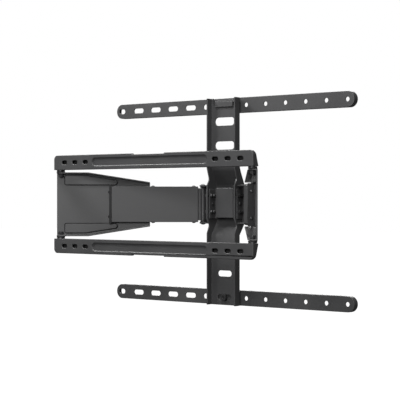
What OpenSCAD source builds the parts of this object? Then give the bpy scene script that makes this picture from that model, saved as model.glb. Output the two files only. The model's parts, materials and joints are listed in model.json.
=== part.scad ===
// Full motion wall mount for a television: two wall rails, two folding telescopic arms,
// a tilting head, and a television frame of one upright strip and two cross rails.
//
// Every module draws in layout space, (x, out, z): out is the distance from the wall.
// room() turns layout space into the model's frame, where the television is toward -Y.
// The origin is on the wall plane, midway between the wall rails. +Z is up, and +X is to
// the right for someone who stands in the room and faces the wall.

/* [Wall rails] */
// Height over both wall rails
rail_span = 205; // [195:1:246]
// Height of one wall rail
rail_h = 30.5; // [28:0.5:36]
// Depth of a wall rail along its outer edge
rail_outer_depth = 8; // [6:0.5:12]
// Sheet thickness of a wall rail
rail_t = 2.5; // [2:0.1:3.5]
// Distance between the middle wall slots, one stud to the next
stud_spacing = 406.4; // [380:0.1:430]
// Step from one wall slot to its neighbour
wall_slot_step = 30.5; // [24:0.5:34]
// Length of a wall slot
wall_slot_len = 15; // [12:0.5:18]
// Height of a wall slot
wall_slot_h = 8; // [6:0.5:9]
// From the outermost wall slot's middle to the end of the rail
rail_end = 30.8; // [24:0.1:36]

/* [Arms] */
// Distance from the wall to the arm pivot
pivot_out = 11; // [10:0.5:13]
// Length of an arm channel, from its pivot to its tip
channel_len = 187.7; // [170:0.5:188]
// Sheet left beyond the wall pivot's bush, toward the wall
lip_edge = 1.9; // [1.5:0.1:4]
// Sheet thickness of an arm channel
channel_t = 3; // [2.5:0.5:3.5]
// Free height between a slider cover and the channel's flanges at the tip, each side
tip_room = 6.2; // [5:0.1:8]
// Height of a slider cover
cover_h = 75.2; // [70:0.2:78]
// Length of a slider, from the root side of its end glide to the head pivot
slider_len = 198; // [190:1:200]
// Free height between an arm root and the wall rails, each side
root_gap = 4.7; // [4.4:0.1:6]

/* [Pins and screws] */
// Diameter of the arm pivot bolts and the head pins
pin_d = 8; // [6:0.5:8]
// Radial clearance of a pin that turns in its hole
run_clear = 0.05; // [0.02:0.01:0.09]
// Gap between pieces that move past each other
gap = 0.4; // [0.3:0.05:0.5]
// Diameter of the tilt clamp bolts
clamp_d = 5; // [4:0.5:5]
// Diameter of the small screws
screw_d = 4; // [3:0.5:4]

/* [Head] */
// Sideways place of the head, from the middle of the wall rails
head_x = -30.5; // [-36:0.5:-25]
// Distance from the wall to the head pivots
head_out = 207; // [200:0.5:214]
// Free width between the tilt clamp bolts and a hinge barrel
barrel_room = 5.3; // [4:0.1:8]
// Height over the lugs that hold a head pin
lug_h = 81; // [79:0.5:86]
// Height of the yoke panel
panel_h = 62; // [54:1:64]
// Free width between the yoke panel and the heads of the tilt clamp bolts
panel_room = 5.15; // [4:0.05:8]

/* [Television frame] */
// Width of the upright strip
strip_w = 76; // [74:0.5:80]
// Depth of the strip's side flanges
strip_depth = 16.3; // [14:0.1:20]
// Sheet thickness of the strip
strip_t = 3; // [2.5:0.5:3.2]
// Free depth between the yoke and the dished middle of the strip
dish_room = 7; // [7:0.1:9]
// Distance between the hole rows of the upper and lower television rails
vesa_h = 400; // [340:1:480]
// Pitch of the holes along a television rail
vesa_pitch = 50; // [45:1:50]
// From the outermost television hole's middle to the end of the rail
tv_rail_end = 16; // [15:0.5:30]
// Height of a television rail
tv_rail_h = 31.5; // [28:0.5:34]
// Depth of a television rail
tv_rail_depth = 13; // [10:0.5:14]
// Sheet thickness of a television rail
tv_rail_t = 2.5; // [2:0.1:3]
// Diameter of the round holes for the television screws
tv_hole_d = 9; // [6.5:0.5:10]
// Height of the slots for the television screws
tv_slot_h = 10.5; // [8:0.5:11]
// Length of the slots for the television screws
tv_slot_len = 28; // [20:0.5:30]

/* [Hidden] */
$fn = 48;

RIGHT = 1;
LEFT = -1;
STEEL = "#3b3d40";
STEEL_DARK = "#26282a";
NYLON = "#1b1c1d";
ZINC = "#5a5d61";
eps = 0.5;        // how far a cut runs past a face
fit = 0.1;        // radial room of a fixed screw in its hole

// Wall rails
rail_half = stud_spacing / 2 + wall_slot_step + rail_end;
rail_top = rail_span / 2;
rail_in = rail_top - rail_h;
rail_mid = rail_top - rail_h / 2;
rail_corner_r = 9;
bead_h = 16.4;
bead_depth = 2.2;
bead_room = 10;                               // from the bead to the nearest wall slot
bead_len = stud_spacing - 2 * (wall_slot_step + wall_slot_len / 2 + bead_room + bead_depth);
notch_half = 43;
notch_depth = 2;
rail_cover_t = 2;
rail_cover_set = 0.6;                         // how far a rail cover sits inside the rim

// Where the arms stand
bolt_head_r = pin_d / 2 + 2.5;
pivot_x = rail_half - rail_t - bolt_head_r - 0.5;
rail_inner_depth = pivot_out + pin_d / 2 + 2;   // leaves an edge beyond the pivot bore
head_rise = head_out - pivot_out;
barrel_r = pin_d / 2 + 2.2;
hinge_t = 3;
plate_t = 0.6;                                // friction plate
clamp_nut_h = 4;
clamp_end = 1;                                // bolt end beyond its nut
hinge_in = strip_w / 2 + gap + plate_t;       // inner face of the hinge bracket's side plate
head_half = hinge_in + hinge_t + clamp_nut_h + clamp_end + barrel_room + barrel_r;
function arm_run(side) = pivot_x - side * head_x - head_half;
function arm_angle(side) = atan2(head_rise, arm_run(side));
function arm_reach(side) = norm([head_rise, arm_run(side)]);

// Arm channel, along s from the wall pivot and d from the pivot axis toward the television
root_half = rail_in - root_gap;
root_end = -8.8;
shoulder = 58;
tip_half = cover_h / 2 + tip_room + channel_t;
nut_r = 0.7 * pin_d;
bush_r = nut_r;
web_in = nut_r + gap;                         // the pivot nuts clear the web as the arm swings
web_out = web_in + channel_t;
lip = -bush_r - lip_edge;
lip_chamfer = 6;

// Slider and cover, drawn from the head pivot back toward the wall
slider_near = gap;                            // gap between the slider and the web
slider_d1 = web_in - slider_near;
slider_t = 2.5;
cover_t = 2.2;
cover_half = cover_h / 2;
cover_end = 10.6;                             // from the head pivot to the cover
cover_d0 = lip + 0.7;                         // the cover sits just inside the channel's lips
cover_d1 = slider_d1 - 1;
slider_half = cover_half - cover_t - fit;
slider_d0 = cover_d0 + cover_t + fit;
slider_lip = 9;
lug_half = lug_h / 2;
lug_t = 3;
barrel_half = lug_half - lug_t - 3.5;
neck_half = min(barrel_half, slider_half);
neck_t = 6;
glide_t = 5;
cover_screw_at = [19.6, 105.6];               // from the head pivot
end_screw_z = cover_half - 11.6;

// Guide rails on the web of a channel
guide_in = cover_half + 4;
guide_out = root_half - channel_t - 4.6;
guide_tip = guide_in + 0.486 * (guide_out - guide_in);
guide_from = 8.8;
guide_bend = 51;
guide_to = 113.5;
guide_t = 4;
guide_r = 3;
guide_seat = channel_t / 2;                   // how deep a guide rail is let into the web
guide_line = 1.6;                             // gap round a guide rail in its pocket

// Carriage inside a slider, screwed to the web near the tip
carriage_len = 40;
carriage_end = channel_len - 4;

// Wall pivot stack, heights from the middle
bush_flange_r = pin_d / 2 + 5;
bush_flange_t = 2;
stack_gap = 0.3;
nut_h = 5;
washer_r = pin_d / 2 + 4.5;
bolt_head_h = 4.5;

// Head
lug_r = pin_d / 2 + 3.5;
lug_side = lug_r - 1.5;                       // from the head pin to the bracket's outer edge
hinge_back = head_out + 8;                    // wall side of the hinge bracket's back plate
tilt_out = head_out - 0.5;
tilt_z = 1;
tilt_down = 10;                               // the tilt limits, with 1 degree to spare in the slots
tilt_up = 5;
tilt_spare = 1;
ear_in = strip_w / 2 - strip_t;
ear_out = strip_w / 2;
yoke_t = 2.5;
yoke_flange = ear_in - gap - plate_t;         // outer face of the yoke's side flange
panel_z = 3;
panel_out = head_out - 2;
yoke_base = head_out + 8.5;
yoke_edge = head_out - 11;
clamp_row = 17;
clamp_pitch = 9;                              // both bolts of a row are equally far from the pivot
clamp_cols = [tilt_out - clamp_pitch / 2, tilt_out + clamp_pitch / 2];
clamp_head_r = clamp_d / 2 + 1.8;
clamp_head_h = 3.6;
panel_w = 2 * (yoke_flange - yoke_t - clamp_head_h - panel_room);
tilt_pin_d = 6;

// Television frame
tv_z = 5.8;                                   // middle of the television frame
strip_half = vesa_h / 2 + tv_rail_h / 2;
plate_out = head_out - 0.4;                   // wall side of the strip's plate
strip_lip = plate_out + strip_t - strip_depth;
dish_out = yoke_base + yoke_t + dish_room;
bend_top = [panel_z + panel_h / 2 + 42, panel_z + panel_h / 2 + 2];
bend_bottom = [tilt_z - panel_h / 2 - 34, tilt_z - panel_h / 2 - 7];
ear_waist = 6.3;
ear_lip = tilt_out - 13.5;
tv_face = head_out + 8;                       // wall side of a television rail
tv_rail_len = 12 * vesa_pitch + 2 * tv_rail_end;
boss_size = [strip_w - 10, 24];
boss_out = plate_out + strip_t + gap;
hook_w = strip_w - 31;
hook_t = 2.5;
hook_rise = 6.2;
shift = 7;                                    // travel of the television rails, each way
lock_head_r = 6.8;
lock_head_h = 5;
lock_d = 6;
lock_slot_h = lock_d + 6.3;
lock_nut_r = 5.8;
lock_nut_h = 5;

// ---- helpers ----

// Layout space to the model's frame
module room() mirror([0, 1, 0]) children();

// Draws its children on the right or left side
module on_side(side) {
    if (side == RIGHT) mirror([1, 0, 0]) room() children();
    else room() children();
}

// Extrudes an (x, z) outline between two distances from the wall
module slab(from, to) translate([0, to, 0]) rotate([90, 0, 0]) linear_extrude(to - from) children();

// Extrudes an (out, z) outline between two places along x
module bar(from, to) translate([from, 0, 0]) rotate([90, 0, 90]) linear_extrude(to - from) children();

// A slot outline with round ends
module slot2d(length, height) {
    square([length - height, height], center = true);
    for (e = [-1, 1]) translate([e * (length - height) / 2, 0]) circle(d = height);
}

// A box from one corner to the other
module block(low, high) translate(low) cube(high - low);

// A rectangle with its two upper corners rounded
module shoulder2d(half, low, high, r) {
    translate([-half, low]) square([2 * half, high - low - r]);
    translate([-half + r, high - r - eps]) square([2 * (half - r), r + eps]);
    for (e = [-1, 1]) translate([e * (half - r), high - r]) circle(r);
}

// Both ends of a vertical stack
module both_ends() for (e = [0, 1]) mirror([0, 0, e]) children();

// A pin along x
module pin_x(from, to, r) translate([from, 0, 0]) rotate([0, 90, 0]) cylinder(r = r, h = to - from);

// A domed screw head that stands on the plane z = 0
module dome(r, h) {
    ball = (r * r + h * h) / (2 * h);
    intersection() {
        translate([0, 0, h - ball]) sphere(ball);
        cylinder(r = r, h = h);
    }
}

// A place on an arm, in (s, d, z) from its wall pivot
module arm(side) on_side(side) translate([-pivot_x, pivot_out, 0]) rotate([0, 0, arm_angle(side)]) children();

// A place on a slider, in (s, d, z) from its head pivot
module slide(side) arm(side) translate([arm_reach(side), 0, 0]) children();

// A place on the head or the television frame, from the middle of the head
module head() room() translate([head_x, 0, 0]) children();

// The right or left side of the head
module head_side(side) head() mirror([side == RIGHT ? 0 : 1, 0, 0]) children();

// ---- wall rails ----

module wall_rail_blank() {
    intersection() {
        bar(-rail_half, rail_half) polygon([
            [0, rail_in], [rail_inner_depth, rail_in], [rail_outer_depth, rail_top], [0, rail_top]
        ]);
        slab(-eps, rail_inner_depth + eps) shoulder2d(rail_half, rail_in - eps, rail_top, rail_corner_r);
    }
}

module wall_rail() {
    difference() {
        union() {
            difference() {
                wall_rail_blank();
                slab(rail_t, rail_inner_depth + eps) shoulder2d(
                    rail_half - rail_t, rail_in + rail_t, rail_top - rail_t, rail_corner_r - rail_t
                );
            }
            slab(rail_t - 0.01, rail_t + bead_depth) translate([0, rail_mid])
                slot2d(bead_len + 2 * bead_depth, bead_h + 2 * bead_depth);
        }
        slab(-eps, bead_depth) translate([0, rail_mid]) slot2d(bead_len, bead_h);
        // wall slots
        for (e = [-1, 1], i = [-1 : 1])
            slab(-eps, rail_t + eps)
                translate([e * (stud_spacing / 2 + i * wall_slot_step), rail_mid])
                    slot2d(wall_slot_len, wall_slot_h);
        // pivot bores in the inner flange
        for (e = [-1, 1])
            translate([e * pivot_x, pivot_out, rail_in - eps])
                cylinder(d = pin_d + 2 * fit, h = rail_t + 2 * eps);
        // the outer flange stops short over the middle
        block([-notch_half, -eps, rail_top - notch_depth], [notch_half, rail_t + eps, rail_top + eps]);
        block([-notch_half, rail_t, rail_top - rail_t - eps],
              [notch_half, rail_outer_depth + 3, rail_top + eps]);
    }
}

module wall_rail_upper() color(STEEL) room() wall_rail();

module wall_rail_lower() color(STEEL) room() mirror([0, 0, 1]) wall_rail();

// Clipped into the open side of a rail, over the wall screws
module rail_cover() difference() {
    front_in = rail_inner_depth - rail_cover_set;
    front_out = rail_outer_depth - rail_cover_set;
    intersection() {
        bar(-rail_half, rail_half) polygon([
            [front_in - rail_cover_t, rail_in], [front_in, rail_in], [front_out, rail_top],
            [front_out - rail_cover_t, rail_top]
        ]);
        slab(0, rail_inner_depth) shoulder2d(
            rail_half - rail_t, rail_in + rail_t, rail_top - rail_t, rail_corner_r - rail_t
        );
    }
    // open round the heads of the pivot bolts
    head_room = bolt_head_r + gap;
    head_top = rail_in + rail_t + bolt_head_h + gap;
    for (e = [0, 1]) mirror([e, 0, 0]) {
        translate([pivot_x, pivot_out, rail_in]) cylinder(r = head_room, h = head_top - rail_in);
        block([pivot_x, pivot_out - head_room, rail_in], [rail_half, pivot_out + head_room, head_top]);
    }
}

module rail_cover_upper() color(NYLON) room() rail_cover();

module rail_cover_lower() color(NYLON) room() mirror([0, 0, 1]) rail_cover();

// ---- wall pivots ----

// Layout of a wall pivot: children stand on its axis
module wall_pivot(side) on_side(side) translate([-pivot_x, pivot_out, 0]) both_ends() children();

bush_top = root_half + bush_flange_t;
nut_top = root_half - channel_t - 1 - stack_gap;

// The left pivot is the open one, so its bolt ends at the rail and the arm carries the rest
module wall_bolts(side) color(ZINC) wall_pivot(side) {
    shank_end = side == RIGHT ? nut_top - nut_h - 1 : rail_in;
    translate([0, 0, shank_end]) cylinder(d = pin_d, h = rail_in + rail_t - shank_end + 0.01);
    translate([0, 0, rail_in + rail_t]) cylinder(r = bolt_head_r, h = bolt_head_h);
}

module wall_washers(side) color(ZINC) {
    // the right washers stay with the rail, and the left ones with the arm
    low = side == RIGHT ? bush_top + stack_gap : bush_top;
    high = side == RIGHT ? rail_in : rail_in - stack_gap;
    bore = pin_d + 2 * fit;
    if (side == RIGHT) wall_pivot(side) washer(low, high, bore);
    else arm(side) both_ends() washer(low, high, bore);
}

module washer(low, high, bore) translate([0, 0, low]) difference() {
    cylinder(r = washer_r, h = high - low);
    translate([0, 0, -eps]) cylinder(d = bore, h = high - low + 2 * eps);
}

module wall_bushes(side) color(NYLON) arm(side) both_ends() difference() {
    union() {
        translate([0, 0, root_half - channel_t - 1]) cylinder(r = bush_r, h = channel_t + 1 + bush_flange_t);
        translate([0, 0, root_half]) cylinder(r = bush_flange_r, h = bush_flange_t);
    }
    translate([0, 0, root_half - channel_t - 1 - eps])
        cylinder(r = pin_d / 2 + run_clear, h = channel_t + bush_flange_t + 2 * eps + 1);
}

module wall_nut_at(low) translate([0, 0, low]) difference() {
    cylinder(r = nut_r, h = nut_h, $fn = 6);
    translate([0, 0, -eps]) cylinder(d = pin_d + 2 * fit, h = nut_h + 2 * eps);
}

module wall_nuts(side) color(ZINC) {
    if (side == RIGHT) wall_pivot(side) wall_nut_at(nut_top - nut_h);
    else arm(side) both_ends() {
        // the open pivot's bolt end stays with the arm, as one piece with its nut
        translate([0, 0, nut_top + stack_gap - nut_h]) cylinder(r = nut_r, h = nut_h, $fn = 6);
        translate([0, 0, nut_top - nut_h - 1])
            cylinder(d = pin_d, h = rail_in - nut_top + nut_h + 1 - stack_gap);
    }
}

// ---- arm channels ----

function channel_outline(grow, inset) = [
    [root_end - grow, -root_half + inset], [shoulder, -root_half + inset],
    [channel_len, -tip_half + inset], [channel_len + grow, -tip_half + inset],
    [channel_len + grow, tip_half - inset], [channel_len, tip_half - inset],
    [shoulder, root_half - inset], [root_end - grow, root_half - inset]
];

module channel(side) color(STEEL) arm(side) difference() {
    slab(lip, web_out) polygon(channel_outline(0, 0));
    slab(lip - eps, web_in) polygon(channel_outline(eps, channel_t));
    // root corner cut back so that it clears the wall
    translate([0, 0, -root_half - eps]) linear_extrude(2 * root_half + 2 * eps) polygon([
        [root_end - eps, lip - eps], [root_end + lip_chamfer, lip - eps],
        [root_end - eps, lip + lip_chamfer + 1]
    ]);
    both_ends() translate([0, 0, root_half - channel_t - eps])
        cylinder(r = bush_r, h = channel_t + 2 * eps);
    carriage_screw_places() pin_y(web_in - eps, web_out + eps, screw_d / 2 + fit);
    // shallow pockets that seat the guide rails, with a gap round them
    both_ends() slab(web_in - eps, web_in + guide_seat) guide2d(guide_line);
}

// A pin along d
module pin_y(from, to, r) translate([0, to, 0]) rotate([90, 0, 0]) cylinder(r = r, h = to - from);

module carriage_screw_places()
    for (z = [-12, 12]) translate([carriage_end - carriage_len / 2, 0, z]) children();

// Outline of a guide rail, grown all round
module guide2d(grow) {
    from = guide_from - grow;
    low = guide_in - grow;
    high = guide_out + grow;
    r = guide_r + grow;
    polygon([
        [from, low + r], [from + r, low], [guide_to, low], [guide_to, guide_tip + grow],
        [guide_bend, high], [from + r, high], [from, high - r]
    ]);
    for (z = [low + r, high - r]) translate([from + r, z]) circle(r);
    translate([guide_to, (guide_in + guide_tip) / 2]) circle(d = guide_tip - guide_in + 2 * grow);
}

module guide_rails(side) color(STEEL) arm(side) both_ends()
    slab(web_in - guide_t, web_in + guide_seat) guide2d(0);

module carriage(side) color(NYLON) arm(side) difference() {
    low = slider_d0 + slider_t + gap;
    high = slider_d1 - slider_t - gap;
    union() {
        block([carriage_end - carriage_len, low, -slider_half + slider_t + gap],
              [carriage_end, high, slider_half - slider_t - gap]);
        block([carriage_end - carriage_len, high - 0.01, -slider_half + slider_t + slider_lip + gap],
              [carriage_end, web_in, slider_half - slider_t - slider_lip - gap]);
    }
    carriage_screw_places() pin_y(low - eps, web_in + eps, screw_d / 2 + fit);
}

module carriage_screws(side) color(ZINC) arm(side) carriage_screw_places() {
    pin_y(slider_d0 + slider_t + gap + 0.5, web_out + 0.01, screw_d / 2);
    translate([0, web_out, 0]) rotate([-90, 0, 0]) dome(screw_d / 2 + 2, 2.2);
}

// ---- sliders ----

module slider(side) color(STEEL_DARK) slide(side) difference() {
    union() {
        // body, a box open toward the web between two lips
        difference() {
            block([-slider_len + glide_t, slider_d0, -slider_half], [-cover_end, slider_d1, slider_half]);
            block([-slider_len + glide_t + slider_t, slider_d0 + slider_t, -slider_half + slider_t],
                  [-cover_end - slider_t, slider_d1 - slider_t, slider_half - slider_t]);
            mouth_half = slider_half - slider_t - slider_lip;
            block([-slider_len + glide_t + slider_t, slider_d1 - slider_t - eps, -mouth_half],
                  [-cover_end - slider_t, slider_d1 + eps, mouth_half]);
        }
        // neck and hinge barrel
        block([-cover_end - 0.01, -neck_t / 2, -neck_half], [0, neck_t / 2, neck_half]);
        translate([0, 0, -barrel_half]) cylinder(r = barrel_r, h = 2 * barrel_half);
    }
    translate([0, 0, -barrel_half - eps]) cylinder(r = pin_d / 2 + run_clear, h = 2 * barrel_half + 2 * eps);
    for (s = cover_screw_at) both_ends()
        translate([-s, 0, slider_half - slider_t - eps])
            cylinder(d = screw_d + 2 * fit, h = slider_t + 2 * eps);
    for (z = [-end_screw_z, end_screw_z])
        translate([-slider_len + glide_t - eps, 0, z]) pin_x(0, slider_t + 2 * eps, screw_d / 2 + fit);
}

module cover(side) color(STEEL) slide(side) difference() {
    block([-slider_len + glide_t, cover_d0, -cover_half], [-cover_end, cover_d1, cover_half]);
    block([-slider_len + glide_t - eps, cover_d0 + cover_t, -cover_half + cover_t],
          [-cover_end + eps, cover_d1 + eps, cover_half - cover_t]);
    for (s = cover_screw_at) both_ends()
        translate([-s, 0, cover_half - cover_t - eps]) cylinder(d = screw_d + 2 * fit, h = cover_t + 2 * eps);
}

module cover_screws(side) color(ZINC) slide(side) for (s = cover_screw_at) both_ends() {
    translate([-s, 0, slider_half - slider_t])
        cylinder(d = screw_d, h = cover_half - slider_half + slider_t + 0.01);
    translate([-s, 0, cover_half]) dome(screw_d / 2 + 2.5, 2.2);
}

module end_glide(side) color(NYLON) slide(side) difference() {
    block([-slider_len, cover_d0, -guide_in + gap], [-slider_len + glide_t, slider_d1, guide_in - gap]);
    for (z = [-end_screw_z, end_screw_z])
        translate([-slider_len - eps, 0, z]) pin_x(0, glide_t + 2 * eps, screw_d / 2 + fit);
}

module end_screws(side) color(ZINC) slide(side) for (z = [-end_screw_z, end_screw_z])
    translate([-slider_len, 0, z]) {
        pin_x(-0.01, glide_t + slider_t + 2, screw_d / 2);
        rotate([0, -90, 0]) dome(screw_d / 2 + 1.8, 2.4);
    }

// ---- head ----

module head_pin(side) color(ZINC) head_side(side) translate([head_half, head_out, 0]) {
    translate([0, 0, -lug_half - 0.01]) cylinder(d = pin_d, h = lug_h + 0.02);
    both_ends() translate([0, 0, lug_half]) dome(pin_d / 2 + 2, 2.4);
}

module head_washers(side) color(NYLON) head_side(side) translate([head_half, head_out, 0]) both_ends()
    translate([0, 0, barrel_half + stack_gap]) difference() {
        cylinder(r = barrel_r, h = lug_half - lug_t - barrel_half - stack_gap);
        translate([0, 0, -eps]) cylinder(d = pin_d + 2 * fit, h = lug_half);
    }

module hinge_bracket(side) color(STEEL) head_side(side) difference() {
    plate_half = panel_h / 2;
    union() {
        // side plate along the strip's ear
        block([hinge_in, yoke_edge, tilt_z - plate_half],
              [hinge_in + hinge_t, hinge_back + hinge_t, tilt_z + plate_half]);
        // back plate behind the hinge barrel
        block([hinge_in, hinge_back, -lug_half], [head_half + lug_side, hinge_back + hinge_t, lug_half]);
        // lugs above and below the barrel
        both_ends() {
            block([hinge_in, head_out - lug_r, lug_half - lug_t],
                  [head_half, hinge_back + hinge_t, lug_half]);
            translate([head_half, head_out, lug_half - lug_t]) cylinder(r = lug_r, h = lug_t);
            block([head_half - eps, head_out, lug_half - lug_t],
                  [head_half + lug_side, hinge_back + hinge_t, lug_half]);
        }
    }
    translate([head_half, head_out, -lug_half - eps]) cylinder(d = pin_d + 2 * fit, h = lug_h + 2 * eps);
    clamp_places() pin_x(hinge_in - eps, hinge_in + hinge_t + eps, clamp_d / 2 + fit);
    translate([0, tilt_out, tilt_z]) pin_x(hinge_in - eps, hinge_in + hinge_t + eps, tilt_pin_d / 2 + fit);
}

module clamp_places() for (w = clamp_cols, e = [-1, 1]) translate([0, w, tilt_z + e * clamp_row]) children();

module head_yoke() color(STEEL) head() difference() {
    union() {
        // raised panel and its side walls
        difference() {
            block([-panel_w / 2, panel_out, panel_z - panel_h / 2],
                  [panel_w / 2, yoke_base + yoke_t, panel_z + panel_h / 2]);
            block([-panel_w / 2 + yoke_t, panel_out + yoke_t, panel_z - panel_h],
                  [panel_w / 2 - yoke_t, yoke_base + yoke_t + eps, panel_z + panel_h]);
        }
        // base strips and side flanges inside the ears
        for (e = [0, 1]) mirror([e, 0, 0]) {
            for (corner = [[panel_w / 2 - 0.01, yoke_base], [yoke_flange - yoke_t, yoke_edge]])
                block([corner[0], corner[1], tilt_z - panel_h / 2],
                      [yoke_flange, yoke_base + yoke_t, tilt_z + panel_h / 2]);
        }
    }
    for (e = [0, 1]) mirror([e, 0, 0]) {
        clamp_places() pin_x(yoke_flange - yoke_t - eps, yoke_flange + eps, clamp_d / 2 + fit);
        translate([0, tilt_out, tilt_z])
            pin_x(yoke_flange - yoke_t - eps, yoke_flange + eps, tilt_pin_d / 2 + fit);
    }
}

module both_sides() head() for (e = [0, 1]) mirror([e, 0, 0]) children();

module tilt_pivot_bolts() color(ZINC) both_sides() translate([0, tilt_out, tilt_z]) {
    pin_x(yoke_flange - yoke_t - 0.01, hinge_in + hinge_t + 0.01, tilt_pin_d / 2);
    translate([yoke_flange - yoke_t, 0, 0]) rotate([0, -90, 0]) dome(3.8, 1.8);
    translate([hinge_in + hinge_t, 0, 0]) rotate([0, 90, 0]) dome(4.5, 2);
}

module tilt_clamp_bolts() color(ZINC) both_sides() clamp_places() {
    pin_x(yoke_flange - yoke_t - 0.01, hinge_in + hinge_t + clamp_nut_h + clamp_end, clamp_d / 2);
    translate([yoke_flange - yoke_t, 0, 0]) rotate([0, -90, 0]) dome(clamp_head_r, clamp_head_h);
}

module tilt_clamp_nuts() color(ZINC) both_sides() clamp_places() translate([hinge_in + hinge_t, 0, 0])
    rotate([0, 90, 0]) difference() {
        cylinder(r = clamp_head_r, h = clamp_nut_h, $fn = 6);
        translate([0, 0, -eps]) cylinder(d = clamp_d + 2 * fit, h = clamp_nut_h + 2 * eps);
    }

module tilt_friction_plates() color(NYLON) both_sides() difference() {
    for (x = [yoke_flange, hinge_in - plate_t])
        block([x, yoke_edge + 1, tilt_z - clamp_row - 6], [x + plate_t, yoke_base, tilt_z + clamp_row + 6]);
    clamp_places() pin_x(yoke_flange - eps, hinge_in + eps, clamp_d / 2 + fit);
    translate([0, tilt_out, tilt_z]) pin_x(yoke_flange - eps, hinge_in + eps, tilt_pin_d / 2 + fit);
}

// ---- television frame ----

strip_top = tv_z + strip_half;
strip_bottom = tv_z - strip_half;

function plate_path(t) = [
    [plate_out + t, strip_bottom], [plate_out + t, bend_bottom[0]], [dish_out + t, bend_bottom[1]],
    [dish_out + t, bend_top[1]], [plate_out + t, bend_top[0]], [plate_out + t, strip_top]
];

function reversed(list) = [for (i = [len(list) - 1 : -1 : 0]) list[i]];

lip_path = [
    [strip_lip, strip_top], [strip_lip, bend_top[0]], [strip_lip + ear_waist, bend_top[0] - 20],
    [strip_lip + ear_waist, bend_top[0] - 25], [ear_lip, bend_top[1] + 3], [ear_lip, bend_bottom[1] + 7],
    [strip_lip + ear_waist, bend_bottom[1] - 5], [strip_lip + ear_waist, bend_bottom[1] - 9],
    [strip_lip, bend_bottom[0] + 3], [strip_lip, strip_bottom]
];

// A groove in the ear along which both clamp bolts of a row run while the head tilts
module tilt_groove(e) {
    r = norm([clamp_pitch / 2, clamp_row]);
    half = clamp_d / 2 + gap;
    fan = atan2(clamp_pitch / 2, clamp_row);
    end = asin(half / r);
    rotate([0, 0, e * 90 - fan - tilt_up - tilt_spare - end])
        rotate_extrude(angle = 2 * (fan + end + tilt_spare) + tilt_down + tilt_up)
            translate([r - half, -eps]) square([2 * half, strip_t + 2 * eps]);
}

// Grooves and pivot bore of one ear, seen along x with the pivot at the middle
module ear_cuts() rotate([90, 0, 90]) {
    translate([0, 0, -eps]) cylinder(r = tilt_pin_d / 2 + run_clear, h = strip_t + 2 * eps);
    for (e = [-1, 1]) tilt_groove(e);
}

module strip_slots() {
    for (rise = [vesa_h / 2 - 33, vesa_h / 2 - 83]) translate([0, tv_z + rise]) slot2d(strip_w - 24, 17);
    for (drop = [vesa_h / 2, vesa_h / 2 - vesa_pitch])
        translate([0, tv_z - drop]) slot2d(strip_w - 39.5, lock_slot_h);
    // mouth for the upper rail's hook
    translate([-(hook_w / 2 + shift + 1), tv_z + vesa_h / 2]) square([hook_w + 2 * shift + 2, tv_rail_h]);
}

module tv_strip() color(STEEL) head() difference() {
    union() {
        bar(-strip_w / 2, strip_w / 2) polygon(concat(plate_path(0), reversed(plate_path(strip_t))));
        for (x = [-strip_w / 2, ear_in]) bar(x, x + strip_t) polygon(concat(plate_path(strip_t), lip_path));
    }
    slab(strip_lip, dish_out) strip_slots();
    for (x = [-ear_out, ear_in]) translate([x, tilt_out, tilt_z]) ear_cuts();
}

module tv_rail_blank() difference() {
    union() {
        difference() {
            slab(tv_face, tv_face + tv_rail_depth) slot2d(tv_rail_len, tv_rail_h);
            slab(tv_face + tv_rail_t, tv_face + tv_rail_depth + eps)
                slot2d(tv_rail_len - 2 * tv_rail_t, tv_rail_h - 2 * tv_rail_t);
        }
        // boss that rests on the strip
        slab(boss_out, tv_face + 0.01) square(boss_size, center = true);
    }
    // round holes on one half, slots on the other
    for (i = [1 : 6]) {
        slab(tv_face - eps, tv_face + tv_rail_t + eps) translate([-i * vesa_pitch, 0]) circle(d = tv_hole_d);
        slab(tv_face - eps, tv_face + tv_rail_t + eps) translate([i * vesa_pitch, 0])
            slot2d(i < 6 ? tv_slot_len : tv_slot_len - 10, tv_slot_h);
    }
}

module tv_rail_upper() color(STEEL) head() translate([0, 0, tv_z + vesa_h / 2]) {
    tv_rail_blank();
    // hook over the strip's mouth
    hook_front = plate_out - gap - hook_t;
    block([-hook_w / 2, hook_front, hook_rise], [hook_w / 2, tv_face + 0.01, hook_rise + hook_t]);
    block([-hook_w / 2, hook_front, -hook_t], [hook_w / 2, hook_front + hook_t, hook_rise + hook_t]);
}

module tv_rail_lower() color(STEEL) head() translate([0, 0, tv_z - vesa_h / 2]) difference() {
    tv_rail_blank();
    pin_y(boss_out - eps, tv_face + tv_rail_t + eps, lock_d / 2 + run_clear);
}

module lock_screw() color(ZINC) head() translate([0, 0, tv_z - vesa_h / 2]) {
    head_face = plate_out - gap;
    pin_y(head_face - 0.01, tv_face + tv_rail_t + lock_nut_h + 1, lock_d / 2);
    pin_y(head_face - lock_head_h, head_face, lock_head_r);
}

module lock_nut() color(ZINC) head() translate([0, 0, tv_z - vesa_h / 2]) {
    translate([0, tv_face + tv_rail_t, 0]) rotate([-90, 0, 0]) difference() {
        cylinder(r = lock_nut_r, h = lock_nut_h, $fn = 6);
        translate([0, 0, -eps]) cylinder(r = lock_d / 2 + run_clear, h = lock_nut_h + 2 * eps);
    }
}

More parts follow.
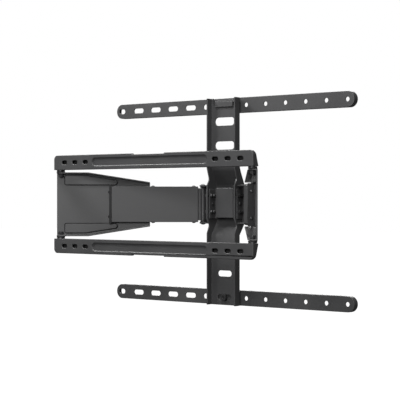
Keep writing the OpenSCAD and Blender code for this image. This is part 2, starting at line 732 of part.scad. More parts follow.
wall_rail_upper();
wall_rail_lower();
rail_cover_upper();
rail_cover_lower();
wall_bolts(RIGHT);  // right_wall_bolts
wall_bolts(LEFT);  // left_wall_bolts
wall_washers(RIGHT);  // right_wall_washers
wall_washers(LEFT);  // left_wall_washers
wall_nuts(RIGHT);  // right_wall_nuts
wall_nuts(LEFT);  // left_wall_nuts
wall_bushes(RIGHT);  // right_wall_bushes
wall_bushes(LEFT);  // left_wall_bushes
channel(RIGHT);  // right_channel
channel(LEFT);  // left_channel
guide_rails(RIGHT);  // right_guide_rails
guide_rails(LEFT);  // left_guide_rails
carriage(RIGHT);  // right_carriage
carriage(LEFT);  // left_carriage
carriage_screws(RIGHT);  // right_carriage_screws
carriage_screws(LEFT);  // left_carriage_screws
slider(RIGHT);  // right_slider
slider(LEFT);  // left_slider
cover(RIGHT);  // right_cover
cover(LEFT);  // left_cover
cover_screws(RIGHT);  // right_cover_screws
cover_screws(LEFT);  // left_cover_screws
end_glide(RIGHT);  // right_end_glide
end_glide(LEFT);  // left_end_glide
end_screws(RIGHT);  // right_end_screws
end_screws(LEFT);  // left_end_screws
head_pin(RIGHT);  // right_head_pin
head_pin(LEFT);  // left_head_pin
head_washers(RIGHT);  // right_head_washers
head_washers(LEFT);  // left_head_washers
hinge_bracket(RIGHT);  // right_hinge_bracket
hinge_bracket(LEFT);  // left_hinge_bracket
head_yoke();
tilt_pivot_bolts();
tilt_clamp_bolts();
tilt_clamp_nuts();
tilt_friction_plates();
tv_strip();
tv_rail_upper();
tv_rail_lower();
lock_screw();
lock_nut();
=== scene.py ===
"""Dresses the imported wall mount: pressed steel, turned fasteners, nylon parts and a plain studio.

Every piece is a finished copy of one CAD node. It keeps that node's shape and place, and gains the
broken edges, drive sockets, knurl and surface finish that the plain solid lacks.
"""

import json
import logging
import math
from dataclasses import dataclass, field
from enum import Enum
from typing import Callable, Iterable

import bmesh
import bpy
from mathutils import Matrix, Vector

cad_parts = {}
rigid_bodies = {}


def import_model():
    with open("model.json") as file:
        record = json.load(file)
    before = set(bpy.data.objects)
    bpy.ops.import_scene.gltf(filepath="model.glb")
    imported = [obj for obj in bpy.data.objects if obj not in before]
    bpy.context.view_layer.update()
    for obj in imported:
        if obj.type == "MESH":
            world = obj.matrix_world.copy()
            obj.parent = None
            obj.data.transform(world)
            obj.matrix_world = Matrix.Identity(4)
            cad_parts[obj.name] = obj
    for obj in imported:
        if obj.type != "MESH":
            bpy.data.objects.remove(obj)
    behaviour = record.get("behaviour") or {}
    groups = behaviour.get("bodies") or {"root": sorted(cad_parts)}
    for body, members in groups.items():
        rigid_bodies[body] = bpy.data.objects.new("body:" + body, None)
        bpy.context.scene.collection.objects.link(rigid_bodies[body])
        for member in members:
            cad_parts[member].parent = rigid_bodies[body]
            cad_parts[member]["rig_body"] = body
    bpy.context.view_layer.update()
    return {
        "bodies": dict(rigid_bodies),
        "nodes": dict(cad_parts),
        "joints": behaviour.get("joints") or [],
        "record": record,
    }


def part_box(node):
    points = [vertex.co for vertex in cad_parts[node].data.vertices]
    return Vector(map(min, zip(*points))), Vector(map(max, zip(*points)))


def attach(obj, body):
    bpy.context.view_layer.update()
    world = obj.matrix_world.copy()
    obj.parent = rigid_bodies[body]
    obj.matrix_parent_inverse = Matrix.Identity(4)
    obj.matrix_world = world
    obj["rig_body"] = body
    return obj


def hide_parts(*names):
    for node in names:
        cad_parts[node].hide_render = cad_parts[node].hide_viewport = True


MM = 0.001
LOG = logging.getLogger("wall_mount")
Colour = tuple[float, float, float]

# Distances that count as one point, and as one flat end
SAME_POINT = 0.002 * MM
SAME_END = 0.02 * MM
# Folds in degrees: below FLAT_FOLD a face is flat, SHARP_FOLD and above is an edge to break,
# and the range between the two BEND values is a shallow bend in the sheet
FLAT_FOLD = 0.4
SHARP_FOLD = 38.0
BEND_FOLD_MIN = 14.0
BEND_FOLD_MAX = 34.0
BEND_LENGTH = 20 * MM
BEND_SEGMENTS = 5
SMOOTH_FOLD = 40.0
EDGE_MARK = "broken_edge"


class Edge(Enum):
    """How a piece's edges are broken: the width of the break in metres and its segments."""

    SHEET = (0.55 * MM, 3)
    ROLLED = (1.1 * MM, 4)
    HEAVY = (0.9 * MM, 3)
    TURNED = (0.22 * MM, 2)
    MOULDED = (0.5 * MM, 3)

    @property
    def width(self) -> float:
        """Width of the break."""
        return self.value[0]

    @property
    def segments(self) -> int:
        """Segments round the break."""
        return self.value[1]


# ---- shader building ----


class Nodes:
    """A thin helper over one node tree, which places and links nodes."""

    def __init__(self, tree: bpy.types.NodeTree) -> None:
        """Keeps the tree that nodes go into."""
        self.tree = tree

    def add(self, kind: str, **sockets: object) -> bpy.types.Node:
        """Adds a node and sets or links its inputs.

        Args:
            kind: the node's type name.
            sockets: input name, with underscores for spaces, to a value or an output socket.

        Returns:
            The new node.
        """
        made = self.tree.nodes.new(kind)
        for name, value in sockets.items():
            self.feed(made.inputs[name.replace("_", " ")], value)
        return made

    def feed(self, socket: bpy.types.NodeSocket, value: object) -> None:
        """Links an output socket into an input, or sets the input's own value."""
        if isinstance(value, bpy.types.NodeSocket):
            self.tree.links.new(value, socket)
        else:
            socket.default_value = value

    def math(self, operation: str, *values: object, clamp: bool = False) -> bpy.types.NodeSocket:
        """Adds a Math node over up to three values.

        Args:
            operation: the Math node's operation.
            values: numbers or output sockets.
            clamp: whether the result stays from 0 to 1.

        Returns:
            The result's socket.
        """
        made = self.tree.nodes.new("ShaderNodeMath")
        made.operation = operation
        made.use_clamp = clamp
        for socket, value in zip(made.inputs, values):
            self.feed(socket, value)
        return made.outputs[0]

    def noise(
        self, where: bpy.types.NodeSocket, scale: object, detail: float, rough: float = 0.5
    ) -> bpy.types.NodeSocket:
        """Adds a Noise Texture.

        Args:
            where: the coordinates that it reads.
            scale: how many features there are to a metre, as a number or a socket.
            detail: how many octaves it has.
            rough: how much of each octave stays in the next.

        Returns:
            The noise's value, which runs from about 0.3 to 0.7.
        """
        made = self.add(
            "ShaderNodeTexNoise", Vector=where, Scale=scale, Detail=detail, Roughness=rough
        )
        return made.outputs["Fac"]

    def spread(self, value: bpy.types.NodeSocket, low: float, high: float) -> bpy.types.NodeSocket:
        """Stretches a value so that low becomes 0 and high becomes 1."""
        made = self.add("ShaderNodeMapRange", Value=value)
        made.inputs["From Min"].default_value = low
        made.inputs["From Max"].default_value = high
        return made.outputs["Result"]


def shader_group(
    name: str, inputs: dict[str, float | None], outputs: Iterable[str]
) -> tuple[Nodes, bpy.types.Node, bpy.types.Node]:
    """Starts a shader node group.

    Args:
        name: the group's name.
        inputs: input name to its default, or None for a vector input.
        outputs: names of the value outputs.

    Returns:
        The group's helper, its input node and its output node.
    """
    tree = bpy.data.node_groups.new(name, "ShaderNodeTree")
    for label, default in inputs.items():
        kind = "NodeSocketVector" if default is None else "NodeSocketFloat"
        socket = tree.interface.new_socket(label, in_out="INPUT", socket_type=kind)
        if default is not None:
            socket.default_value = default
    for label in outputs:
        tree.interface.new_socket(label, in_out="OUTPUT", socket_type="NodeSocketFloat")
    nodes = Nodes(tree)
    return nodes, nodes.add("NodeGroupInput"), nodes.add("NodeGroupOutput")


def coat_grain_group() -> bpy.types.NodeTree:
    """Powder coat relief: fine pebbles on a long ripple, with a slow drift of tone."""
    nodes, given, result = shader_group(
        "coat grain", {"Place": None, "Pebble": 900.0}, ("Height", "Tone")
    )
    place = given.outputs["Place"]
    pebble = nodes.noise(place, given.outputs["Pebble"], 3.0, 0.55)
    ripple = nodes.noise(place, 60.0, 2.0)
    drift = nodes.noise(place, 9.0, 3.0, 0.6)
    height = nodes.math("MULTIPLY_ADD", ripple, 0.35, pebble)
    tone = nodes.math("MULTIPLY_ADD", drift, 0.7, nodes.math("MULTIPLY", pebble, 0.3))
    nodes.feed(result.inputs["Height"], height)
    nodes.feed(result.inputs["Tone"], tone)
    return nodes.tree


def edge_wear_group() -> bpy.types.NodeTree:
    """Where the coat is rubbed thin: broken patches along the edges that the mesh marks."""
    nodes, given, result = shader_group(
        "edge wear", {"Place": None, "Edge": 0.0, "Amount": 0.5}, ("Worn",)
    )
    patch = nodes.spread(nodes.noise(given.outputs["Place"], 140.0, 5.0, 0.65), 0.42, 0.66)
    worn = nodes.math("MULTIPLY", patch, given.outputs["Edge"])
    shown = nodes.math("MULTIPLY", worn, given.outputs["Amount"], clamp=True)
    nodes.feed(result.inputs["Worn"], shown)
    return nodes.tree


def dust_group() -> bpy.types.NodeTree:
    """A thin film of dust on faces that look up."""
    nodes, given, result = shader_group("dust film", {"Place": None, "Amount": 0.3}, ("Dust",))
    normal = nodes.add("ShaderNodeNewGeometry").outputs["Normal"]
    up = nodes.add("ShaderNodeSeparateXYZ", Vector=normal).outputs["Z"]
    lying = nodes.spread(up, 0.25, 0.95)
    cloud = nodes.spread(nodes.noise(given.outputs["Place"], 35.0, 6.0, 0.6), 0.35, 0.7)
    film = nodes.math("MULTIPLY", lying, cloud)
    shown = nodes.math("MULTIPLY", film, given.outputs["Amount"], clamp=True)
    nodes.feed(result.inputs["Dust"], shown)
    return nodes.tree


@dataclass(frozen=True)
class Workshop:
    """The shader groups that every finish draws on, built once."""

    grain: bpy.types.NodeTree = field(default_factory=coat_grain_group)
    wear: bpy.types.NodeTree = field(default_factory=edge_wear_group)
    dust: bpy.types.NodeTree = field(default_factory=dust_group)


DUST_COLOUR = (0.34, 0.33, 0.31, 1.0)
# How far the tone of a finish drifts, as shares of its colour
DARK_SHARE = 0.82
LIGHT_SHARE = 1.16
# How tone, wear and dust change the roughness
TONE_ROUGH = 0.12
WORN_ROUGH = -0.15
DUST_ROUGH = 0.3
RELIEF_STRENGTH = 0.6


@dataclass(frozen=True)
class Finish:
    """One surface finish and the record's slot that it stands for.

    Pebble is the grain's features to a metre and relief its height in metres. Wear and dust run
    from 0 to 1.
    """

    slot: str
    colour: Colour
    worn_colour: Colour
    rough: float
    metallic: float
    pebble: float
    relief: float
    wear: float
    dust: float
    specular: float = 0.5

    @staticmethod
    def place_group(nodes: Nodes, tree: bpy.types.NodeTree, **values: object) -> bpy.types.Node:
        """Adds a shared group to a material with its own values."""
        made = nodes.tree.nodes.new("ShaderNodeGroup")
        made.node_tree = tree
        for label, value in values.items():
            nodes.feed(made.inputs[label], value)
        return made

    def material(self, shop: Workshop) -> bpy.types.Material:
        """Builds the material.

        Args:
            shop: the shared shader groups.

        Returns:
            A material whose colour, roughness and relief vary over the surface.
        """
        made = bpy.data.materials.new(self.slot)
        made.use_nodes = True
        nodes = Nodes(made.node_tree)
        made.node_tree.nodes.clear()
        place = nodes.add("ShaderNodeTexCoord").outputs["Object"]
        edge = nodes.add("ShaderNodeAttribute")
        edge.attribute_name = EDGE_MARK
        grain = self.place_group(nodes, shop.grain, Place=place, Pebble=self.pebble)
        worn = self.place_group(
            nodes, shop.wear, Place=place, Edge=edge.outputs["Fac"], Amount=self.wear
        ).outputs["Worn"]
        dust = self.place_group(nodes, shop.dust, Place=place, Amount=self.dust).outputs["Dust"]
        tone = nodes.spread(grain.outputs["Tone"], 0.3, 0.7)
        darker = tuple(DARK_SHARE * c for c in self.colour) + (1.0,)
        lighter = tuple(LIGHT_SHARE * c for c in self.colour) + (1.0,)
        body = self.blend_colours(nodes, tone, darker, lighter)
        rubbed = self.blend_colours(nodes, worn, body, self.worn_colour + (1.0,))
        final = self.blend_colours(nodes, dust, rubbed, DUST_COLOUR)
        rough = nodes.math("MULTIPLY_ADD", tone, TONE_ROUGH, self.rough - TONE_ROUGH / 2)
        rough = nodes.math("MULTIPLY_ADD", worn, WORN_ROUGH, rough)
        rough = nodes.math("MULTIPLY_ADD", dust, DUST_ROUGH, rough, clamp=True)
        relief = nodes.add("ShaderNodeBump", Height=grain.outputs["Height"])
        relief.inputs["Strength"].default_value = RELIEF_STRENGTH
        relief.inputs["Distance"].default_value = self.relief
        shader = nodes.add(
            "ShaderNodeBsdfPrincipled",
            Base_Color=final, Roughness=rough, Normal=relief.outputs["Normal"],
        )
        shader.inputs["Metallic"].default_value = self.metallic
        shader.inputs["Specular IOR Level"].default_value = self.specular
        nodes.add("ShaderNodeOutputMaterial", Surface=shader.outputs["BSDF"])
        return made

    @staticmethod
    def blend_colours(
        nodes: Nodes, factor: bpy.types.NodeSocket, first: object, second: object
    ) -> bpy.types.NodeSocket:
        """Mixes two colours by a factor and returns the colour's socket."""
        made = nodes.tree.nodes.new("ShaderNodeMix")
        made.data_type = "RGBA"
        nodes.feed(made.inputs[0], factor)
        nodes.feed(made.inputs[6], first)
        nodes.feed(made.inputs[7], second)
        return made.outputs[2]


POWDER_COAT = Finish(
    slot="powder_coat", colour=(0.043, 0.043, 0.044), worn_colour=(0.12, 0.12, 0.121),
    rough=0.5, metallic=0.0, pebble=1100.0, relief=0.12 * MM, wear=0.35, dust=0.10,
)
COVER_COAT = Finish(
    slot="cover_coat", colour=(0.041, 0.041, 0.042), worn_colour=(0.11, 0.11, 0.111),
    rough=0.5, metallic=0.0, pebble=1500.0, relief=0.07 * MM, wear=0.3, dust=0.08,
)
DARK_STEEL = Finish(
    slot="dark_steel", colour=(0.03, 0.03, 0.031), worn_colour=(0.2, 0.2, 0.202),
    rough=0.38, metallic=0.0, pebble=700.0, relief=0.05 * MM, wear=0.55, dust=0.05,
)
BLACK_ZINC = Finish(
    slot="black_zinc", colour=(0.07, 0.07, 0.072), worn_colour=(0.20, 0.20, 0.203),
    rough=0.46, metallic=0.8, pebble=1800.0, relief=0.03 * MM, wear=0.6, dust=0.04,
)
NYLON = Finish(
    slot="nylon", colour=(0.016, 0.016, 0.0165), worn_colour=(0.05, 0.05, 0.051),
    rough=0.66, metallic=0.0, pebble=600.0, relief=0.06 * MM, wear=0.25, dust=0.06,
    specular=0.28,
)


# ---- geometry nodes ----


HEX = 6  # sides of a drive socket and of a knurl's rib


def geometry_group(
    name: str, numbers: dict[str, float]
) -> tuple[bpy.types.NodeTree, bpy.types.Node, bpy.types.Node]:
    """Starts a geometry node tree with a geometry and a material input.

    Args:
        name: the tree's name.
        numbers: name of each number input to its default.

    Returns:
        The tree, its input node and its output node.
    """
    tree = bpy.data.node_groups.new(name, "GeometryNodeTree")
    tree.interface.new_socket("Places", in_out="INPUT", socket_type="NodeSocketGeometry")
    for label, default in numbers.items():
        socket = tree.interface.new_socket(label, in_out="INPUT", socket_type="NodeSocketFloat")
        socket.default_value = default
    tree.interface.new_socket("Finish", in_out="INPUT", socket_type="NodeSocketMaterial")
    tree.interface.new_socket("Mesh", in_out="OUTPUT", socket_type="NodeSocketGeometry")
    return tree, tree.nodes.new("NodeGroupInput"), tree.nodes.new("NodeGroupOutput")


def finish_tree(
    tree: bpy.types.NodeTree,
    given: bpy.types.Node,
    result: bpy.types.Node,
    copies: bpy.types.NodeSocket,
) -> None:
    """Ends a tree: real geometry with the finish set on it.

    Args:
        tree: the tree to end.
        given: its input node.
        result: its output node.
        copies: the socket that gives the repeated shapes.
    """
    realized = tree.nodes.new("GeometryNodeRealizeInstances")
    dressed = tree.nodes.new("GeometryNodeSetMaterial")
    tree.links.new(copies, realized.inputs["Geometry"])
    tree.links.new(realized.outputs["Geometry"], dressed.inputs["Geometry"])
    tree.links.new(given.outputs["Finish"], dressed.inputs["Material"])
    tree.links.new(dressed.outputs["Geometry"], result.inputs["Mesh"])


def turn_to_direction(tree: bpy.types.NodeTree) -> bpy.types.NodeSocket:
    """Rotation that turns Z to each place's Direction attribute."""
    direction = tree.nodes.new("GeometryNodeInputNamedAttribute")
    direction.data_type = "FLOAT_VECTOR"
    direction.inputs["Name"].default_value = "Direction"
    align = tree.nodes.new("FunctionNodeAlignRotationToVector")
    align.axis = "Z"
    tree.links.new(direction.outputs["Attribute"], align.inputs["Vector"])
    return align.outputs["Rotation"]


def socket_tree() -> bpy.types.NodeTree:
    """Drive sockets: a hexagonal plug at each place, which is then cut out of the screw's head."""
    tree, given, result = geometry_group("drive sockets", {"Radius": 2 * MM, "Depth": 1.5 * MM})
    new, link = tree.nodes.new, tree.links.new
    plug = new("GeometryNodeMeshCylinder")
    plug.inputs["Vertices"].default_value = HEX
    link(given.outputs["Radius"], plug.inputs["Radius"])
    link(given.outputs["Depth"], plug.inputs["Depth"])
    placed = new("GeometryNodeInstanceOnPoints")
    link(given.outputs["Places"], placed.inputs["Points"])
    link(plug.outputs["Mesh"], placed.inputs["Instance"])
    link(turn_to_direction(tree), placed.inputs["Rotation"])
    finish_tree(tree, given, result, placed.outputs["Instances"])
    return tree


def knurl_tree() -> bpy.types.NodeTree:
    """Knurl: upright ribs round a knob's rim at each place."""
    tree, given, result = geometry_group(
        "knurl", {"Radius": 6.8 * MM, "Height": 4 * MM, "Ribs": 32.0, "Rib": 0.35 * MM}
    )
    new, link = tree.nodes.new, tree.links.new
    rib = new("GeometryNodeMeshCylinder")
    rib.inputs["Vertices"].default_value = HEX
    link(given.outputs["Rib"], rib.inputs["Radius"])
    link(given.outputs["Height"], rib.inputs["Depth"])
    rim = new("GeometryNodeMeshCircle")
    link(given.outputs["Ribs"], rim.inputs["Vertices"])
    link(given.outputs["Radius"], rim.inputs["Radius"])
    around = new("GeometryNodeInstanceOnPoints")
    link(rim.outputs["Mesh"], around.inputs["Points"])
    link(rib.outputs["Mesh"], around.inputs["Instance"])
    placed = new("GeometryNodeInstanceOnPoints")
    link(given.outputs["Places"], placed.inputs["Points"])
    link(around.outputs["Instances"], placed.inputs["Instance"])
    link(turn_to_direction(tree), placed.inputs["Rotation"])
    finish_tree(tree, given, result, placed.outputs["Instances"])
    return tree


@dataclass(frozen=True)
class Place:
    """A point on a fastener and the way that it faces."""

    point: Vector
    facing: Vector


@dataclass(frozen=True)
class Repeater:
    """Runs one geometry node tree over a set of places."""

    tree: bpy.types.NodeTree

    def run(
        self, name: str, places: list[Place], finish: bpy.types.Material, **numbers: float
    ) -> bpy.types.Object:
        """Makes the repeated shapes as one plain mesh.

        Args:
            name: the new object's name.
            places: where each copy goes.
            finish: the material that the tree sets.
            numbers: the tree's number inputs, by name.

        Returns:
            The object, linked into the scene, with no modifier left on it.
        """
        mesh = bpy.data.meshes.new(name)
        mesh.from_pydata([tuple(p.point) for p in places], [], [])
        facing = mesh.attributes.new("Direction", "FLOAT_VECTOR", "POINT")
        facing.data.foreach_set("vector", [c for p in places for c in p.facing])
        made = bpy.data.objects.new(name, mesh)
        bpy.context.scene.collection.objects.link(made)
        modifier = made.modifiers.new("repeat", "NODES")
        modifier.node_group = self.tree
        for item in self.tree.interface.items_tree:
            if item.in_out == "INPUT" and item.name in numbers:
                modifier[item.identifier] = float(numbers[item.name])
            if item.in_out == "INPUT" and item.name == "Finish":
                modifier[item.identifier] = finish
        return plain(made)


def plain(made: bpy.types.Object) -> bpy.types.Object:
    """Bakes an object's modifiers into its mesh and returns the object."""
    bpy.context.view_layer.update()
    evaluated = made.evaluated_get(bpy.context.evaluated_depsgraph_get())
    mesh = bpy.data.meshes.new_from_object(evaluated)
    made.modifiers.clear()
    made.data = mesh
    mesh.name = made.name
    return made


# ---- finished copies of CAD nodes ----


SOCKET_DEPTH = 1.6  # depth of a plug over its radius; half of it sinks into the head


@dataclass
class Bench:
    """Where finished pieces are made, with the frame, the materials and the repeaters at hand."""

    frame: dict
    materials: dict[str, bpy.types.Material]
    sockets: Repeater
    knurl: Repeater
    made: int = 0

    def body_of(self, node: str) -> str:
        """Name of the body that carries a CAD node."""
        return self.frame["nodes"][node]["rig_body"]

    def dress(self, piece: bpy.types.Object, finish: Finish, body: str) -> bpy.types.Object:
        """Gives a piece its material and body."""
        piece.data.materials.clear()
        piece.data.materials.append(self.materials[finish.slot])
        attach(piece, body)
        self.made += 1
        LOG.info("made %s on %s", piece.name, body)
        return piece

    def finish_node(
        self,
        node: str,
        finish: Finish,
        edge: Edge,
        suffix: str,
        bend: float = 0.0,
        sockets: list[Place] | None = None,
        socket_radius: float = 0.0,
    ) -> bpy.types.Object:
        """Makes the finished copy of a CAD node.

        Args:
            node: the CAD node's name.
            finish: its surface finish.
            edge: how its edges are broken.
            suffix: what the maker's word for the piece ends in.
            bend: radius given to shallow bends in the sheet, or 0 for none.
            sockets: where drive sockets are cut, or None.
            socket_radius: across-corner radius of those sockets.

        Returns:
            The finished piece, which replaces the node.
        """
        mesh = merged_mesh(self.frame["nodes"][node], f"{node}_{suffix}")
        piece = bpy.data.objects.new(mesh.name, mesh)
        bpy.context.scene.collection.objects.link(piece)
        if sockets:
            self.cut_sockets(piece, sockets, finish, socket_radius)
        break_edges(piece.data, edge, bend)
        even_normals(piece)
        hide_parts(node)
        return self.dress(piece, finish, self.body_of(node))

    def turned(self, node: str, heads: list[Place] | None = None, radius: float = 0.0) -> None:
        """Finishes a node of zinc plated fasteners, with drive sockets where heads are given."""
        self.finish_node(
            node, BLACK_ZINC, Edge.TURNED, "turned", sockets=heads, socket_radius=radius
        )

    def cut_sockets(
        self, piece: bpy.types.Object, places: list[Place], finish: Finish, radius: float
    ) -> None:
        """Cuts a hexagonal socket into each screw head of a piece."""
        plugs = self.sockets.run(
            f"{piece.name}_plugs", places, self.materials[finish.slot],
            Radius=radius, Depth=SOCKET_DEPTH * radius,
        )
        cut = piece.modifiers.new("sockets", "BOOLEAN")
        cut.operation = "DIFFERENCE"
        cut.object = plugs
        cut.solver = "EXACT"
        plain(piece)
        bpy.data.objects.remove(plugs)


def merged_mesh(source: bpy.types.Object, name: str) -> bpy.types.Mesh:
    """Copies a CAD node's loose triangles into one joined mesh of flat faces."""
    mesh = source.data.copy()
    mesh.name = name
    for attribute in ("custom_normal", "sharp_face", "sharp_edge"):
        found = mesh.attributes.get(attribute)
        if found is not None:
            mesh.attributes.remove(found)
    work = bmesh.new()
    work.from_mesh(mesh)
    bmesh.ops.remove_doubles(work, verts=work.verts, dist=SAME_POINT)
    bmesh.ops.dissolve_limit(
        work, angle_limit=math.radians(FLAT_FOLD), verts=work.verts, edges=work.edges,
        use_dissolve_boundaries=False,
    )
    work.to_mesh(mesh)
    work.free()
    return mesh


def fold_angle(edge: bmesh.types.BMEdge) -> float:
    """Angle in degrees between an edge's two faces, or 0 where it hasn't two."""
    if len(edge.link_faces) != 2 or edge.calc_length() == 0:
        return 0.0
    return math.degrees(edge.calc_face_angle(0.0))


def break_edges(mesh: bpy.types.Mesh, edge: Edge, bend: float) -> None:
    """Rounds a mesh's sharp edges, marks what that made, and rounds shallow bends.

    Args:
        mesh: the mesh, which is changed.
        edge: width and segments of the break.
        bend: offset of the rounding on shallow bends, or 0.
    """
    work = bmesh.new()
    work.from_mesh(mesh)
    if bend:
        shallow = [
            e for e in work.edges
            if BEND_FOLD_MIN < fold_angle(e) < BEND_FOLD_MAX and e.calc_length() > BEND_LENGTH
        ]
        bmesh.ops.bevel(
            work, geom=shallow, offset=bend, offset_type="OFFSET", segments=BEND_SEGMENTS,
            profile=0.5, affect="EDGES", clamp_overlap=True, loop_slide=True,
        )
    sharp = [e for e in work.edges if fold_angle(e) > SHARP_FOLD]
    rounded = bmesh.ops.bevel(
        work, geom=sharp, offset=edge.width, offset_type="OFFSET", segments=edge.segments,
        profile=0.5, affect="EDGES", clamp_overlap=False, loop_slide=True,
    )
    layer = work.faces.layers.float.new(EDGE_MARK)
    for face in rounded["faces"]:
        if face.is_valid:
            face[layer] = 1.0
    bmesh.ops.dissolve_degenerate(work, dist=SAME_POINT / 2, edges=work.edges)
    bmesh.ops.triangulate(work, faces=[f for f in work.faces if len(f.verts) > 4])
    work.to_mesh(mesh)
    work.free()


def even_normals(piece: bpy.types.Object) -> None:
    """Shades a piece smooth with its flat faces kept flat."""
    piece.data.polygons.foreach_set("use_smooth", [True] * len(piece.data.polygons))
    piece.data.set_sharp_from_angle(angle=math.radians(SMOOTH_FOLD))
    weigh = piece.modifiers.new("weigh", "WEIGHTED_NORMAL")
    weigh.keep_sharp = True
    weigh.weight = 60
    plain(piece)


def solids_of(node: bpy.types.Object) -> list[list[Vector]]:
    """Splits a CAD node that holds several solids into each solid's points."""
    work = bmesh.new()
    work.from_mesh(node.data)
    bmesh.ops.remove_doubles(work, verts=work.verts, dist=SAME_POINT)
    left = set(work.verts)
    found = []
    while left:
        stack = [left.pop()]
        points = []
        while stack:
            vertex = stack.pop()
            points.append(vertex.co.copy())
            for e in vertex.link_edges:
                other = e.other_vert(vertex)
                if other in left:
                    left.discard(other)
                    stack.append(other)
        found.append(points)
    work.free()
    return found


def middle(points: list[Vector]) -> Vector:
    """Average of some points."""
    return sum(points, Vector()) / len(points)


def tip_places(node: bpy.types.Object, facing: Callable[[Vector], Vector]) -> list[Place]:
    """Finds the outermost point of each solid in a node, along the way that it faces.

    Args:
        node: a CAD node of one or more fasteners.
        facing: turns a solid's middle into the way that its head faces.

    Returns:
        One place for each solid, on the face that stands furthest out.
    """
    places = []
    for points in solids_of(node):
        way = facing(middle(points))
        reach = max(p.dot(way) for p in points)
        outer = [p for p in points if reach - p.dot(way) < SAME_END]
        places.append(Place(middle(outer), way))
    return sorted(places, key=lambda p: tuple(round(c, 5) for c in p.point))


def up_or_down(centre: Vector) -> Vector:
    """The way that a fastener above or below the middle of the mount faces."""
    return Vector((0, 0, 1)) if centre.z > 0 else Vector((0, 0, -1))


# ---- sub-assemblies ----


@dataclass
class WallFrame:
    """Both wall rails and the bolts that the arms swing on."""

    bench: Bench
    socket_radius: float = 3.4 * MM

    def build(self) -> None:
        """Finishes the rails and their pivot hardware."""
        for level in ("upper", "lower"):
            self.bench.finish_node(f"wall_rail_{level}", POWDER_COAT, Edge.ROLLED, "pressed")
            self.bench.finish_node(f"rail_cover_{level}", NYLON, Edge.MOULDED, "moulded")
        for side in ("right", "left"):
            node = f"{side}_wall_bolts"
            heads = tip_places(self.bench.frame["nodes"][node], up_or_down)
            self.bench.turned(node, heads, self.socket_radius)
            self.bench.turned(f"{side}_wall_washers")
            self.bench.turned(f"{side}_wall_nuts")
            self.bench.finish_node(f"{side}_wall_bushes", NYLON, Edge.TURNED, "moulded")


@dataclass
class Arm:
    """One telescopic arm: channel, guide rails, carriage, slider, cover and end glide."""

    bench: Bench
    side: str
    socket_radius: float = 1.5 * MM

    def along(self) -> Vector:
        """The way from the wall pivot to the head."""
        joint = next(j for j in self.bench.frame["joints"] if j["name"] == f"{self.side}_arm_slide")
        return Vector(joint["axis"]).normalized()

    def outward(self) -> Vector:
        """The way from the slider to the channel's web, toward the television."""
        along = self.along()
        across = Vector((0, 0, 1)).cross(along)
        return across if across.y < 0 else -across

    def build(self) -> None:
        """Finishes every piece of the arm."""
        bench, side = self.bench, self.side
        bench.finish_node(f"{side}_channel", POWDER_COAT, Edge.HEAVY, "pressed")
        bench.finish_node(f"{side}_guide_rails", POWDER_COAT, Edge.SHEET, "pressed")
        bench.finish_node(f"{side}_carriage", NYLON, Edge.MOULDED, "moulded")
        bench.finish_node(f"{side}_slider", DARK_STEEL, Edge.SHEET, "pressed")
        bench.finish_node(f"{side}_cover", COVER_COAT, Edge.HEAVY, "pressed")
        bench.finish_node(f"{side}_end_glide", NYLON, Edge.MOULDED, "moulded")
        along, outward = self.along(), self.outward()
        facings: dict[str, Callable[[Vector], Vector]] = {
            "carriage_screws": lambda centre: outward,
            "cover_screws": up_or_down,
            "end_screws": lambda centre: -along,
        }
        for kind, facing in facings.items():
            node = f"{side}_{kind}"
            heads = tip_places(bench.frame["nodes"][node], facing)
            bench.turned(node, heads, self.socket_radius)


@dataclass
class Head:
    """The tilting head between the arms and the television frame."""

    bench: Bench
    pivot_socket: float = 1.8 * MM

    def build(self) -> None:
        """Finishes the brackets, yoke, pins, bolts and nuts."""
        bench = self.bench
        for side in ("right", "left"):
            bench.finish_node(f"{side}_hinge_bracket", POWDER_COAT, Edge.SHEET, "pressed")
            bench.turned(f"{side}_head_pin")
            bench.finish_node(f"{side}_head_washers", NYLON, Edge.TURNED, "moulded")
        bench.finish_node("head_yoke", POWDER_COAT, Edge.HEAVY, "pressed")
        bench.finish_node("tilt_friction_plates", NYLON, Edge.TURNED, "cut")
        centre = middle(list(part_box("head_yoke"))).x

        def inward(point: Vector) -> Vector:
            """The way from a fastener to the middle of the head."""
            return Vector((1 if point.x < centre else -1, 0, 0))

        bench.turned("tilt_clamp_bolts")
        pivots = tip_places(bench.frame["nodes"]["tilt_pivot_bolts"], inward)
        bench.turned("tilt_pivot_bolts", pivots, self.pivot_socket)
        bench.turned("tilt_clamp_nuts")


@dataclass
class TelevisionFrame:
    """The upright strip, both television rails and the lock screw."""

    bench: Bench
    bend: float = 7 * MM
    knob_ribs: int = 30
    knob_rib: float = 0.4 * MM
    rib_height: float = 3.6 * MM
    rib_sink: float = 0.15 * MM
    rim_step: float = 0.6 * MM
    knob_socket: float = 3.0 * MM

    def build(self) -> None:
        """Finishes the strip, rails and lock."""
        bench = self.bench
        bench.finish_node("tv_strip", POWDER_COAT, Edge.SHEET, "pressed", bend=self.bend)
        for level in ("upper", "lower"):
            bench.finish_node(f"tv_rail_{level}", POWDER_COAT, Edge.SHEET, "pressed")
        knob = tip_places(bench.frame["nodes"]["lock_screw"], lambda centre: Vector((0, 1, 0)))
        bench.turned("lock_screw", knob, self.knob_socket)
        bench.turned("lock_nut")
        self.knurl_knob(knob[0])

    def knurl_knob(self, face: Place) -> None:
        """Puts ribs round the rim of the lock screw's head."""
        low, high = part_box("lock_screw")
        radius = (high.x - low.x) / 2
        depth = self.rim_step + self.rib_height / 2
        ribs = self.bench.knurl.run(
            "lock_screw_knurl",
            [Place(face.point - face.facing * depth, face.facing)],
            self.bench.materials[BLACK_ZINC.slot],
            Radius=radius - self.rib_sink,
            Height=self.rib_height,
            Ribs=self.knob_ribs,
            Rib=self.knob_rib,
        )
        self.bench.dress(ribs, BLACK_ZINC, "lock")


# ---- studio ----


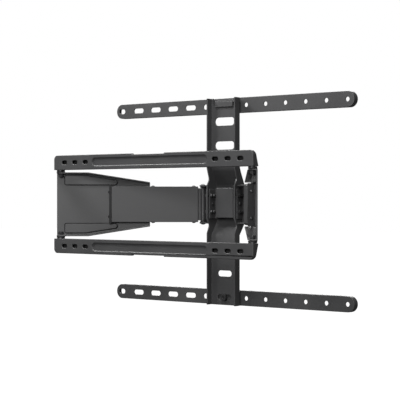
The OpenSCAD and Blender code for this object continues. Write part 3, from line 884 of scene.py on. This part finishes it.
@dataclass(frozen=True)
class SoftLight:
    """A square area light: its name, place, size in metres and power in watts."""

    name: str
    place: Vector
    size: float
    power: float


@dataclass
class Studio:
    """Pale floor, soft lights and the camera."""

    eye: Vector = field(default_factory=lambda: Vector((-1.7923, 1.9848, 0.00905)))
    sight: Vector = field(default_factory=lambda: Vector((0.6406, -0.7677, 0.0)))
    aim: Vector = field(default_factory=lambda: Vector((0.0, -0.1, 0.0)))
    lens: float = 121.4
    sensor: float = 36.0
    far: float = 100.0
    floor_z: float = -0.9
    floor_size: float = 60.0
    floor_glow: float = 0.95
    fill: float = 0.11

    def build(self) -> None:
        """Sets up the floor, the sky, the lights and the camera."""
        self.lay_floor()
        self.light_sky()
        for light in (
            SoftLight("key", Vector((-1.7, 3.5, 0.95)), 1.4, 100.0),
            SoftLight("top", Vector((-0.5, 0.85, 2.0)), 0.6, 42.0),
            SoftLight("bend", Vector((1.35, 0.62, 1.6)), 0.8, 60.0),
            SoftLight("front", Vector((1.4, -2.4, 1.4)), 1.6, 70.0),
        ):
            self.hang(light)
        self.set_camera()
        bpy.context.scene.view_settings.view_transform = "Standard"

    def lay_floor(self) -> None:
        """Makes the pale floor."""
        bpy.ops.mesh.primitive_plane_add(size=self.floor_size, location=(0, 0, self.floor_z))
        floor = bpy.context.active_object
        floor.name = "studio_floor"
        pale = bpy.data.materials.new("pale_floor")
        pale.use_nodes = True
        shader = pale.node_tree.nodes["Principled BSDF"]
        shader.inputs["Base Color"].default_value = (0.93, 0.93, 0.93, 1)
        shader.inputs["Roughness"].default_value = 0.9
        shader.inputs["Emission Color"].default_value = (1, 1, 1, 1)
        shader.inputs["Emission Strength"].default_value = self.floor_glow
        floor.data.materials.append(pale)
        floor.visible_diffuse = False
        floor.visible_glossy = False

    def light_sky(self) -> None:
        """Makes an even white sky that lights the mount a little less than it shows."""
        world = bpy.data.worlds.new("studio_sky")
        bpy.context.scene.world = world
        world.use_nodes = True
        nodes = Nodes(world.node_tree)
        world.node_tree.nodes.clear()
        seen = nodes.add("ShaderNodeLightPath").outputs["Is Camera Ray"]
        strength = nodes.math("MULTIPLY_ADD", seen, 1.0 - self.fill, self.fill)
        sky = nodes.add("ShaderNodeBackground", Color=(1, 1, 1, 1), Strength=strength)
        nodes.add("ShaderNodeOutputWorld", Surface=sky.outputs["Background"])

    def hang(self, light: SoftLight) -> None:
        """Adds a light that faces the middle of the mount."""
        glow = bpy.data.lights.new(light.name, "AREA")
        glow.size = light.size
        glow.energy = light.power
        lamp = bpy.data.objects.new(light.name, glow)
        lamp.location = light.place
        lamp.rotation_euler = (self.aim - light.place).to_track_quat("-Z", "Y").to_euler()
        bpy.context.scene.collection.objects.link(lamp)

    def set_camera(self) -> None:
        """Places the camera, level and from the wall side."""
        lens = bpy.data.cameras.new("view")
        lens.lens = self.lens
        lens.sensor_width = self.sensor
        lens.clip_end = self.far
        camera = bpy.data.objects.new("view", lens)
        camera.location = self.eye
        camera.rotation_euler = self.sight.to_track_quat("-Z", "Y").to_euler()
        bpy.context.scene.collection.objects.link(camera)
        bpy.context.scene.camera = camera


def main() -> None:
    """Builds the mount and the studio."""
    logging.basicConfig(level=logging.INFO, format="%(message)s")
    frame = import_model()
    shop = Workshop()
    finishes = (POWDER_COAT, COVER_COAT, DARK_STEEL, BLACK_ZINC, NYLON)
    bench = Bench(
        frame=frame,
        materials={f.slot: f.material(shop) for f in finishes},
        sockets=Repeater(socket_tree()),
        knurl=Repeater(knurl_tree()),
    )
    WallFrame(bench).build()
    Arm(bench, "right").build()
    Arm(bench, "left").build()
    Head(bench).build()
    TelevisionFrame(bench).build()
    Studio().build()
    LOG.info("%d pieces made", bench.made)


if __name__ == "__main__":
    main()
